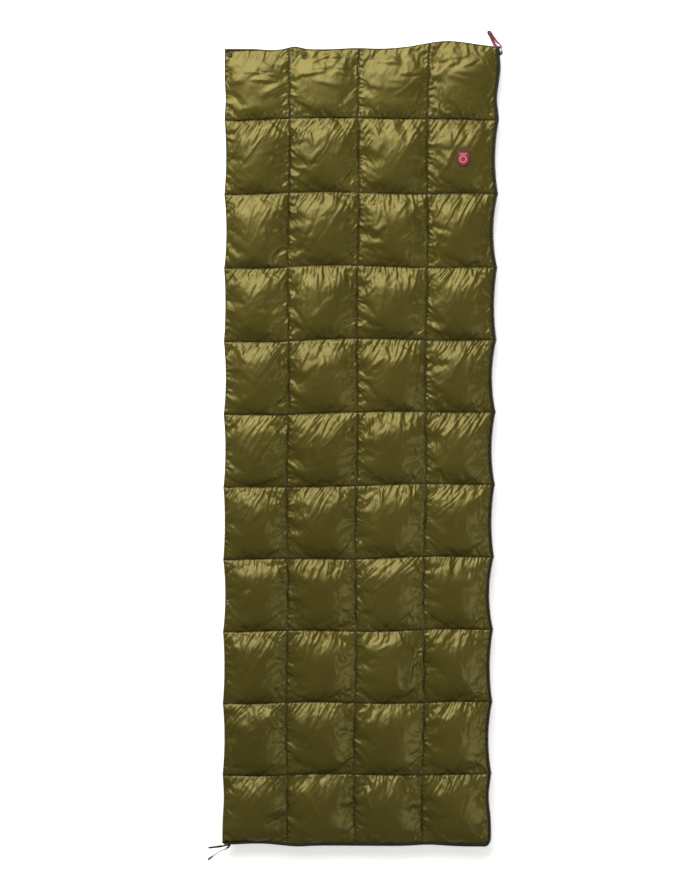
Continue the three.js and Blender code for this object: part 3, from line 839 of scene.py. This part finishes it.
def coil(name, sign, shift, material):
    """One side's coil of teeth, wound along the edge."""
    pitch = 0.0022
    per_turn = 9
    place, out, s = zip_path(pitch / per_turn, 0.006)
    angle = s / pitch * math.tau + shift
    away = 0.0024 + 0.0012 * np.cos(angle)
    up = 0.0016 + 0.0017 * np.sin(angle)
    line = np.stack([*(place + out * away[:, None]).T, up], -1)
    tangent = np.gradient(line, axis=0)
    tangent /= np.linalg.norm(tangent, axis=1, keepdims=True)
    side = np.cross(tangent, np.array([0.0, 0.0, 1.0]) + 0.001)
    side /= np.linalg.norm(side, axis=1, keepdims=True)
    over = np.cross(tangent, side)
    rings = [line + 0.00036 * (math.cos(a) * side + math.sin(a) * over) for a in (0.0, 2.1, 4.2)]
    points = warp(np.stack(rings, 1))
    points[..., 2] = MID_Z + sign * points[..., 2]
    return tube(name, points, material)


def head_strip(name, section, material, sign):
    """A closed band along the head edge, from its section as (toward the head, up) places."""
    step = 0.004
    x = np.arange(FOLD_X + 0.0015, ZIP_X + step / 2, step)
    section = np.asarray(section, float)
    points = np.zeros((len(x), len(section), 3))
    points[..., 0] = x[:, None]
    points[..., 1] = HEAD_Y + section[None, :, 0]
    ripple = 0.0005 * np.sin(x * 190) * np.sin(x * 47 + 1)
    points[..., 2] = section[None, :, 1] + ripple[:, None]
    points = warp(points)
    points[..., 2] = MID_Z + sign * np.maximum(points[..., 2], 0.0004)
    return tube(name, points, material)


HEM_SECTION = [(-0.0042, 0.0069), (-0.002, 0.0072), (0.0004, 0.0062), (0.0012, 0.0040), (0.0006, 0.0018),
               (-0.002, 0.0008), (-0.018, 0.0010), (-0.0215, 0.0016), (-0.0215, 0.0024), (-0.018, 0.0019),
               (-0.0025, 0.0022), (-0.001, 0.0040), (-0.0022, 0.0058), (-0.0042, 0.0060)]


def fold_roll(material):
    """The turned cloth along the fold."""
    y = np.arange(FOOT_Y + 0.001, HEAD_Y, 0.004)
    turn = np.linspace(-math.pi / 2, math.pi / 2, 9)
    outer = np.stack([-0.0024 * np.cos(turn), 0.0026 * np.sin(turn)], -1)
    inner = np.stack([0.0004 - 0.0018 * np.cos(turn[::-1]), 0.0020 * np.sin(turn[::-1])], -1)
    section = np.concatenate([outer, inner])
    points = np.zeros((len(y), len(section), 3))
    points[..., 0] = FOLD_X + 0.0024 + section[None, :, 0]
    points[..., 1] = y[:, None]
    points = warp(points)
    points[..., 2] = MID_Z + section[None, :, 1]
    piece = tube("fold_roll", points, material)
    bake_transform(piece)
    return piece


def build_edges(shell, tape, hem, coil_nylon):
    upper = edge_strip("upper_zip_tape_fabric", TAPE_SECTION, tape, 1)
    finish_piece(upper, "upper_half", "zip_tape", "upper_zip_tape")
    lower = edge_strip("lower_zip_tape_fabric", TAPE_SECTION, tape, -1)
    finish_piece(lower, "lower_half", "zip_tape", "lower_zip_tape")
    finish_piece(coil("upper_coil_teeth", 1, 0.0, coil_nylon), "upper_half", "zip_coil", "upper_zip_coil")
    finish_piece(coil("lower_coil_teeth", -1, math.pi, coil_nylon), "lower_half", "zip_coil", "lower_zip_coil")
    upper_hem = head_strip("upper_head_hem", HEM_SECTION, hem, 1)
    finish_piece(upper_hem, "upper_half", "hem_binding", "upper_head_binding")
    lower_hem = head_strip("lower_head_hem", HEM_SECTION, hem, -1)
    finish_piece(lower_hem, "lower_half", "hem_binding", "lower_head_binding")
    fold_roll(shell)


# ---------------------------------------------------------------- stitches

def stitches(name, lines, material):
    """Thread along sewn lines: each stitch a small spindle, long the way its line runs."""
    shape = np.array([(0.5, 0, 0), (-0.5, 0, 0), (0, 1, 0), (0, -1, 0), (0, 0, 1), (0, 0, -1)], float)
    shape *= np.array([0.0028, 0.0004, 0.0007])
    pitch = 0.0037
    sides = np.array([(0, 2, 4), (2, 1, 4), (1, 3, 4), (3, 0, 4), (2, 0, 5), (1, 2, 5), (3, 1, 5), (0, 3, 5)])
    points, faces, count = [], [], 0
    for line in lines:
        gaps = np.linalg.norm(np.diff(line, axis=0), axis=1)
        run = np.append(0, np.cumsum(gaps))
        marks = np.arange(pitch, run[-1] - pitch / 2, pitch)
        spots = np.stack([np.interp(marks, run, line[:, k]) for k in range(3)], -1)
        ahead = np.stack([np.interp(marks + 0.001, run, line[:, k]) for k in range(3)], -1) - spots
        ahead /= np.linalg.norm(ahead, axis=1, keepdims=True)
        across = np.cross(ahead, (0, 0, 1.0))
        across /= np.linalg.norm(across, axis=1, keepdims=True)
        over = np.cross(across, ahead)
        basis = np.stack([ahead, across, over], 1)
        made = np.einsum("pk,nkd->npd", shape, basis) + spots[:, None]
        points.append(made.reshape(-1, 3))
        steps = count + 6 * np.arange(len(spots))
        faces += (sides[None] + steps[:, None, None]).reshape(-1, 3).tolist()
        count += 6 * len(spots)
    return mesh_object(name, np.concatenate(points), faces, material)


def seam_lines(sign):
    """Every sewn line of one half, as it lies."""
    lines = []
    ys = np.linspace(FOOT_Y + 0.004, HEAD_Y - 0.004, 400)
    for x in COLUMN_STOPS[1:-1]:
        lines.append(np.stack([np.full_like(ys, x), ys, seam_height(np.full_like(ys, x), ys)], -1))
    xs = np.linspace(FOLD_X + 0.004, ZIP_X - 0.008, 160)
    for y in ROW_STOPS[1:-1]:
        lines.append(np.stack([xs, np.full_like(xs, y), seam_height(xs, np.full_like(xs, y))], -1))
    place, out, _ = zip_path(0.006, 0.01)
    inner = place - out * 0.0040
    lines.append(np.concatenate([inner, np.full((len(inner), 1), 0.0098)], 1))
    lines.append(np.stack([xs, np.full_like(xs, HEAD_Y - 0.0027), np.full_like(xs, 0.0073)], -1))
    laid = []
    for line in lines:
        line = warp(line)
        line[:, 2] = MID_Z + sign * line[:, 2]
        laid.append(line)
    return laid


def build_stitches(thread):
    finish_piece(stitches("upper_seam_thread", seam_lines(1), thread), "upper_half", "hem_binding")
    finish_piece(stitches("lower_seam_thread", seam_lines(-1), thread), "lower_half", "hem_binding")


# ---------------------------------------------------------------- small hard parts

def lathe(name, centre, profile, material, up):
    """A turned body about an upright axis, from (radius, height) places that start and end on the axis."""
    angle = np.linspace(0, math.tau, 40, endpoint=False)
    rings = [np.stack([r * np.cos(angle), r * np.sin(angle), np.full_like(angle, up * h)], -1)
             for r, h in profile]
    return tube(name, np.array(rings) + np.asarray(centre), material)


def prism(name, outline, low, high, edge, material, place=None):
    """A plate with rounded-over rims, from its outline; place sets its points where they lie on the quilt."""
    outline = np.asarray(outline, float)
    middle = outline.mean(0)
    turns = np.linspace(0, math.pi / 2, 4)
    levels = [(1 - math.sin(t), low + edge * (1 - math.cos(t))) for t in turns]
    levels += [(1 - math.cos(t), high - edge * (1 - math.sin(t))) for t in turns]
    rings = []
    ahead = np.roll(outline, -1, 0) - np.roll(outline, 1, 0)
    inward = np.stack([-ahead[:, 1], ahead[:, 0]], -1)
    inward /= np.linalg.norm(inward, axis=1, keepdims=True)
    if np.sum(inward * (middle - outline)) < 0:
        inward = -inward
    for draw, level in levels:
        ring = outline + inward * edge * draw
        rings.append(np.concatenate([ring, np.full((len(ring), 1), level)], 1))
    rings = np.array(rings)
    if place is not None:
        rings = place(rings)
    return tube(name, rings, material)


def join(name, pieces):
    """Joins pieces into one object with that name."""
    bpy.ops.object.select_all(action="DESELECT")
    for piece in pieces:
        piece.select_set(True)
    bpy.context.view_layer.objects.active = pieces[0]
    bpy.ops.object.join()
    pieces[0].name = name
    pieces[0].data.name = name
    return pieces[0]


def capsule(length, width, corners=7, start=0.0):
    """The outline of a bar with round ends."""
    r = width / 2
    head = np.linspace(-math.pi / 2, math.pi / 2, corners)
    tail = np.linspace(math.pi / 2, 1.5 * math.pi, corners)
    return ([(start + length - r + r * math.cos(a), r * math.sin(a)) for a in head]
            + [(start + r + r * math.cos(a), r * math.sin(a)) for a in tail])


def slider_outline(long, front, back):
    """A slider plate: broad at the front, narrower at the back, all corners round."""
    t = np.linspace(0, math.tau, 32, endpoint=False)
    along = long / 2 * np.sign(np.cos(t)) * np.abs(np.cos(t)) ** 0.5
    half = (front + (back - front) * (0.5 - along / long)) / 2
    return np.stack([along, half * np.sign(np.sin(t)) * np.abs(np.sin(t)) ** 0.5], -1)


def along_side(rings):
    """Local (along, up, out) places of the slider on the side: it runs toward the head."""
    return np.stack([ZIP_X + rings[..., 2], 0.99832 + rings[..., 0], MID_Z + rings[..., 1]], -1)


def along_foot(rings):
    """Local (along, up, out) places of the slider at the foot: it runs toward the fold."""
    return np.stack([-0.31005 - rings[..., 0], FOOT_Y - rings[..., 2], MID_Z + rings[..., 1]], -1)


def slider(name, place, material):
    """A zip slider: two plates, the post between them, the guide flange, and two ears with their pin."""
    outer = prism(name, slider_outline(0.0090, 0.0098, 0.0080), 0.0041, 0.0053, 0.0004, material, place)
    inner = prism(name, slider_outline(0.0088, 0.0064, 0.0056), -0.0016, -0.0004, 0.0003, material, place)
    guard_outline = capsule(0.0080, 0.0008, start=-0.0040) + np.array([0, -0.0045])
    guard = prism(name, guard_outline, 0.0014, 0.0045, 0.0002, material, place)
    post = prism(name, capsule(0.0016, 0.0012, start=0.0026), -0.0006, 0.0044, 0.0002, material, place)
    parts = [outer, inner, guard, post]
    for side in (-1, 1):
        ear = np.array(capsule(0.0060, 0.0042, start=0.0036))
        upright = np.stack([ear[:, 1], ear[:, 0]], -1)
        low, high = sorted((side * 0.00185, side * 0.00300))
        parts.append(prism(name, upright, low, high, 0.0003, material, ear_place(place)))
    pin_outline = circle(0.0007, 16, (0, 0.0079))
    parts.append(prism(name, pin_outline, -0.0034, 0.0034, 0.0002, material, ear_place(place)))
    return join(name, parts)


def ear_place(place):
    """Takes an outline drawn (along, out) and thick upward to the slider's own axes."""
    def moved(rings):
        return place(np.stack([rings[..., 0], rings[..., 2], rings[..., 1]], -1))
    return moved


def circle(radius, count, centre=(0, 0)):
    angle = np.linspace(0, math.tau, count, endpoint=False)
    return np.stack([centre[0] + radius * np.cos(angle), centre[1] + radius * np.sin(angle)], -1)


def pull_tab(name, pivot, heading, material):
    """A flat tab with an eye at each end: one turns on the slider's pin, the other holds the ribbon or cord."""
    outer = np.array(capsule(0.0150, 0.0046, 12, start=-0.0022))
    slot_out = np.array(capsule(0.0046, 0.0022, 12, start=0.0070))
    slot_pin = np.array(capsule(0.00205, 0.0020, 12, start=-0.0010))
    along = np.array([math.cos(heading), math.sin(heading)])
    across = np.array([-along[1], along[0]])

    def place(rings):
        flat = rings[..., :1] * along + rings[..., 1:2] * across + np.array(pivot)
        return np.concatenate([flat, MID_Z + rings[..., 2:]], -1)

    body = prism(name, outer, -0.0014, 0.0014, 0.0005, material, place)
    for cut in (slot_out, slot_pin):
        tool = prism("tool", cut, -0.003, 0.003, 0.0001, material, place)
        hole = body.modifiers.new("eye", "BOOLEAN")
        hole.operation = "DIFFERENCE"
        hole.object = tool
        hole.solver = "EXACT"
        apply_modifiers(body)
        bpy.data.objects.remove(tool)
    body.name = name
    return body


def press_stud(cad_node, name, body, up, material):
    """A domed cap with a rolled rim and a dished middle."""
    low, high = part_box(cad_node)
    centre = ((low[0] + high[0]) / 2, (low[1] + high[1]) / 2, low[2] if up > 0 else high[2])
    wide = (high[0] - low[0]) / 2
    tall = high[2] - low[2]
    profile = [(0.02, 0.0), (0.80, 0.0), (0.97, 0.12), (1.0, 0.4), (0.93, 0.72), (0.80, 0.90),
               (0.70, 0.80), (0.60, 0.72), (0.50, 0.78), (0.30, 0.97), (0.12, 1.02), (0.02, 1.03)]
    piece = lathe(name, centre, [(r * wide, h * tall) for r, h in profile], material, up)
    return finish_piece(piece, body, "press_stud", cad_node)


def crimp(cad_node, name, body, material):
    """A zip stop: a small ribbed clamp round the end of the coil."""
    low, high = (np.array(v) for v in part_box(cad_node))
    centre, half = (low + high) / 2, (high - low) / 2
    axis = int(np.argmax(half))
    others = [k for k in range(3) if k != axis]
    t = np.linspace(-1, 1, 15)
    angle = np.linspace(0, math.tau, 20, endpoint=False)
    rings = np.zeros((len(t), len(angle), 3))
    size = (1 - 0.30 * np.abs(t) ** 6) * (0.94 + 0.06 * np.cos(t * 9))
    for k, wave in zip(others, (np.cos(angle), np.sin(angle))):
        rings[..., k] = centre[k] + half[k] * size[:, None] * np.sign(wave) * np.abs(wave) ** 0.55
    rings[..., axis] = centre[axis] + half[axis] * t[:, None]
    return finish_piece(tube(name, rings, material), body, "zip_stop", cad_node)


def build_hardware(metal, black, stud_metal):
    top = slider("top_slider", along_side, metal)
    finish_piece(top, "top_slider", "slider_metal", "top_slider_body")
    foot = slider("foot_slider", along_foot, black)
    finish_piece(foot, "foot_slider", "slider_metal", "foot_slider_body")
    top_tab = pull_tab("top_tab", (0.36085, 0.99832), math.pi / 2, metal)
    finish_piece(top_tab, "top_pull", "slider_metal", "top_pull_tab")
    foot_tab = pull_tab("foot_tab", (-0.31005, -1.00258), math.radians(217), black)
    finish_piece(foot_tab, "foot_pull", "slider_metal", "foot_pull_tab")
    for spot in ("fold", "middle"):
        press_stud(f"upper_press_cap_{spot}", f"stud_cap_{spot}", "upper_half", 1, stud_metal)
        press_stud(f"upper_press_socket_{spot}", f"stud_socket_{spot}", "upper_half", -1, stud_metal)
        press_stud(f"lower_press_base_{spot}", f"stud_base_{spot}", "lower_half", -1, stud_metal)
        press_stud(f"lower_press_stud_{spot}", f"stud_post_{spot}", "lower_half", 1, stud_metal)
    for half in ("upper", "lower"):
        for end in ("top", "bottom"):
            crimp(f"{half}_{end}_stop", f"{half}_{end}_clamp", f"{half}_half", stud_metal)


# ---------------------------------------------------------------- badge

def shield_outline(wide, tall, corner=0.0022):
    """A shield: level top with eased corners, upright sides and a rounded point."""
    w, h = wide / 2, tall / 2
    top = [(w - corner + corner * math.sin(a), h - corner + corner * math.cos(a))
           for a in np.linspace(0, math.pi / 2, 5)]
    side = [(w, y) for y in np.linspace(h - 2 * corner, -0.18 * h, 5)]
    turns = np.linspace(0.08, 1, 12)[:-1] * math.pi / 2
    point = [(w * math.cos(a) ** 0.80, -0.18 * h - 0.82 * h * math.sin(a) ** 1.15) for a in turns]
    right = top + side + point
    left = [(-x, y) for x, y in reversed(right)]
    return np.array(right + [(0.0, -h)] + left)


def badge_place(rings):
    return rings + np.array([0.2667, 0.7373, 0])


def ring_plate(name, radius, thick, low, high, material):
    """A flat ring lying on the badge."""
    angle = np.linspace(0, math.tau, 48, endpoint=False)
    section = [(radius - thick / 2, low), (radius - thick / 2, high - 0.0002), (radius - thick / 4, high),
               (radius + thick / 4, high), (radius + thick / 2, high - 0.0002), (radius + thick / 2, low)]
    rings = np.array([[(r * math.cos(a), r * math.sin(a), z) for r, z in section] for a in angle])
    rings = badge_place(rings + np.array([-0.001, -0.0016, 0]))
    piece = mesh_object(name, rings.reshape(-1, 3), grid_faces(len(angle), len(section), True, True), material)
    return outward(piece)


def build_badge(red, dark_red, pink):
    base = 0.0658
    border = prism("shield_border", shield_outline(0.034, 0.040), base, 0.0680, 0.0006, dark_red, badge_place)
    field = prism("shield_field", shield_outline(0.0256, 0.0312, 0.0015), 0.0672, 0.0684, 0.0004, red, badge_place)
    ring = ring_plate("shield_ring", 0.0078, 0.0032, 0.0680, 0.0689, pink)
    bar_outline = np.array(capsule(0.017, 0.0028, start=-0.0085)) + np.array([0, 0.0112])
    bar = prism("shield_bar", bar_outline, 0.0680, 0.0689, 0.0003, pink, badge_place)
    for piece, nodes in ((border, ["shield_badge"]), (field, []), (ring, []), (bar, [])):
        finish_piece(piece, "upper_half", "badge", *nodes)


# ---------------------------------------------------------------- ribbon, cord and tape tail

def catmull(points, per_span=6):
    """A smooth line through the points."""
    points = np.asarray(points, float)
    padded = np.concatenate([[2 * points[0] - points[1]], points, [2 * points[-1] - points[-2]]])
    line = []
    for k in range(len(points) - 1):
        a, b, c, d = padded[k:k + 4]
        for t in np.linspace(0, 1, per_span, endpoint=False):
            bend, twist = 2 * a - 5 * b + 4 * c - d, 3 * b - a - 3 * c + d
            line.append(0.5 * (2 * b + (c - a) * t + bend * t ** 2 + twist * t ** 3))
    line.append(points[-1])
    return np.array(line)


def sweep(name, line, widths, thicks, wide_way, material, ring=12, corner=0.6):
    """A band or cord along a line: its section is widths by thicks, turned so that its breadth lies along wide_way."""
    ahead = np.gradient(line, axis=0)
    ahead /= np.linalg.norm(ahead, axis=1, keepdims=True)
    across = wide_way - ahead * np.sum(wide_way * ahead, axis=1, keepdims=True)
    across /= np.linalg.norm(across, axis=1, keepdims=True)
    over = np.cross(across, ahead)
    rings = np.zeros((len(line), ring, 3))
    for k, a in enumerate(np.linspace(0, math.tau, ring, endpoint=False)):
        c, s = math.cos(a), math.sin(a)
        c, s = math.copysign(abs(c) ** corner, c), math.copysign(abs(s) ** corner, s)
        rings[:, k] = line + across * (c * widths / 2)[:, None] + over * (s * thicks / 2)[:, None]
    rings[..., 2] = np.maximum(rings[..., 2], 0.0002)
    return tube(name, rings, material)


TOP_PIVOT = np.array([0.36085, 0.99832, MID_Z])
RIBBON_ROUTE = ((0, 0, 0), (-1.6, 1.3, -1.6), (-2.2, 3.2, -6), (-4.5, 4.2, -12.5), (-9.5, 5, -20), (-14, 8.5, -26.5),
                (-17, 14, -30.5), (-20, 21, -32), (-24, 29, -32.2), (-28.5, 36, -32.3), (-32, 40.5, -32.4),
                (-31.5, 44.5, -32.4), (-27.5, 43, -32.2), (-21.5, 35, -31.4), (-16.5, 27.5, -29.5), (-12, 21, -26),
                (-7.5, 15.5, -20.5), (-3.6, 10.8, -13.5), (-0.6, 6.2, -6.5), (0.9, 2.2, -1.8))
FOOT_PIVOT = np.array([-0.31005, -1.00258, 0])
CORD_WAY = np.array([-0.79864, -0.60182, 0])
CORD_ROUTE = ((13.2, 31), (17, 27.4), (21.5, 20.5), (26.5, 13), (32.5, 7.2), (40, 4), (48, 2.9), (55, 2.6))


def build_ribbon(material):
    start = TOP_PIVOT + np.array([0, 0.0134, 0])
    line = catmull(start + np.array(RIBBON_ROUTE, float) / 1000)
    t = np.linspace(0, 1, len(line))
    widths = 0.0026 + 0.0048 * smooth(np.minimum(t, 1 - t) / 0.22)
    widths -= 0.0028 * np.exp(-((t - 0.52) / 0.06) ** 2)
    on_edge = np.maximum(1 - smooth((t - 0.10) / 0.12), 0.5 * smooth((t - 0.58) / 0.12))
    flat_way = np.cross(np.gradient(line, axis=0), (0, 0, 1.0))
    flat_way /= np.linalg.norm(flat_way, axis=1, keepdims=True)
    way = flat_way * (1 - 0.75 * on_edge)[:, None] + np.array([0, 0, 1.0]) * on_edge[:, None]
    ribbon = sweep("pull_ribbon", line, widths, np.full(len(t), 0.0009), way, material, 14, 0.5)
    # Painted shade where the loop turns at its far end, stored for the ribbon's material.
    near = np.repeat(np.exp(-((t - 0.53) / 0.06) ** 2), 14).astype(np.float32)
    ribbon.data.attributes.new("seam_shade", "FLOAT", "POINT").data.foreach_set("value", near)
    finish_piece(ribbon, "top_pull", "red_ribbon", "top_pull_ribbon")


def build_foot_cord(material, end_material):
    route = np.array(CORD_ROUTE, float) / 1000
    points = FOOT_PIVOT + CORD_WAY * route[:, :1] + np.array([0, 0, 1.0]) * route[:, 1:]
    line = catmull(points, 8)
    t = np.linspace(0, 1, len(line))
    side = np.tile(np.array([0.6, -0.8, 0]), (len(t), 1))
    braid = 0.0020 * (1 + 0.05 * np.sin(t * 190))
    cord = sweep("pull_cord", line, braid, braid, side, material, 12, 1.0)
    finish_piece(cord, "foot_pull", "pull_cord", "foot_pull_cord")
    tip = line[-1]
    run = np.linspace(-0.0012, 0.0148, 30)
    end_line = tip + CORD_WAY * run[:, None] + np.array([0, 0, 1.0]) * 0.0001
    u = (run - run[0]) / (run[-1] - run[0])
    girth = 0.0030 + 0.0016 * smooth(u / 0.55)
    girth *= np.clip(np.sqrt(np.maximum(1 - np.clip((u - 0.86) / 0.14, 0, 1) ** 2, 0.02)), 0, 1)
    girth += 0.00022 * np.cos(u * 60) * (u < 0.5)
    side = np.tile(np.array([0.6, -0.8, 0]), (len(run), 1))
    end = sweep("cord_end_grip", end_line, girth, girth, side, end_material, 16, 1.0)
    finish_piece(end, "foot_pull", "cord_end", "foot_pull_end")


def build_tail(material):
    """The loose tape end past the foot slider, which turns as it leaves the corner."""
    t = np.linspace(0, 1, 40)
    line = np.stack([-0.3152 - 0.0478 * t, -0.9990 - 0.0078 * t ** 0.8, MID_Z - 0.003 * t], -1)
    way = np.stack([np.zeros_like(t), -smooth(t * 1.3) * 0.9, 1 - 0.55 * smooth(t * 1.3)], -1)
    widths = 0.0120 - 0.0070 * smooth(t * 1.4) - 0.002 * smooth((t - 0.93) / 0.07)
    tail = sweep("tape_tail", line, widths, np.full(len(t), 0.0009), way, material, 14, 0.45)
    finish_piece(tail, "lower_half", "zip_tape", "foot_tape_tail")


# ---------------------------------------------------------------- floor

def build_floor():
    material = new_material("floor", (0.9, 0.9, 0.9), 0.6)
    shader = mottle(material, (0.955, 0.955, 0.955), (0.965, 0.965, 0.965), 3)[-1]
    # The floor glows: painted light that lifts the shadows on it and adds a little light to the quilt.
    shader.inputs["Emission Color"].default_value = (1, 1, 1, 1)
    shader.inputs["Emission Strength"].default_value = 0.4
    floor = mesh_object("floor", [(-9, -9, 0), (9, -9, 0), (9, 9, 0), (-9, 9, 0)], [(0, 1, 2, 3)], material)


# ---------------------------------------------------------------- everything in order

add_camera()
build_ribbon(ribbon_material())
build_foot_cord(cloth_material("grey_cord", (0.17, 0.155, 0.15), (0.24, 0.22, 0.21)),
                cloth_material("dark_red_grip", (0.075, 0.006, 0.016), (0.11, 0.010, 0.022)))
add_lights()
build_floor()
shell_nylon = shell_material()
lining_nylon = lining_material()
dark_tape = tape_material()
coil_nylon = coil_material()
build_faces(shell_nylon, lining_nylon)
build_edges(shell_nylon, dark_tape, hem_material(), coil_nylon)
build_stitches(thread_material())
build_hardware(metal_material("dull_metal", (0.13, 0.125, 0.11), 0.4),
               metal_material("black_metal", (0.03, 0.03, 0.03), 0.35),
               metal_material("dark_olive_metal", (0.06, 0.055, 0.03), 0.5))
build_badge(cloth_material("badge_red", (0.17, 0.003, 0.012), (0.22, 0.005, 0.016)),
            cloth_material("badge_dark_red", (0.040, 0.001, 0.003), (0.058, 0.002, 0.004)),
            cloth_material("badge_pink", (0.42, 0.12, 0.14), (0.50, 0.16, 0.18)))
build_tail(dark_tape)
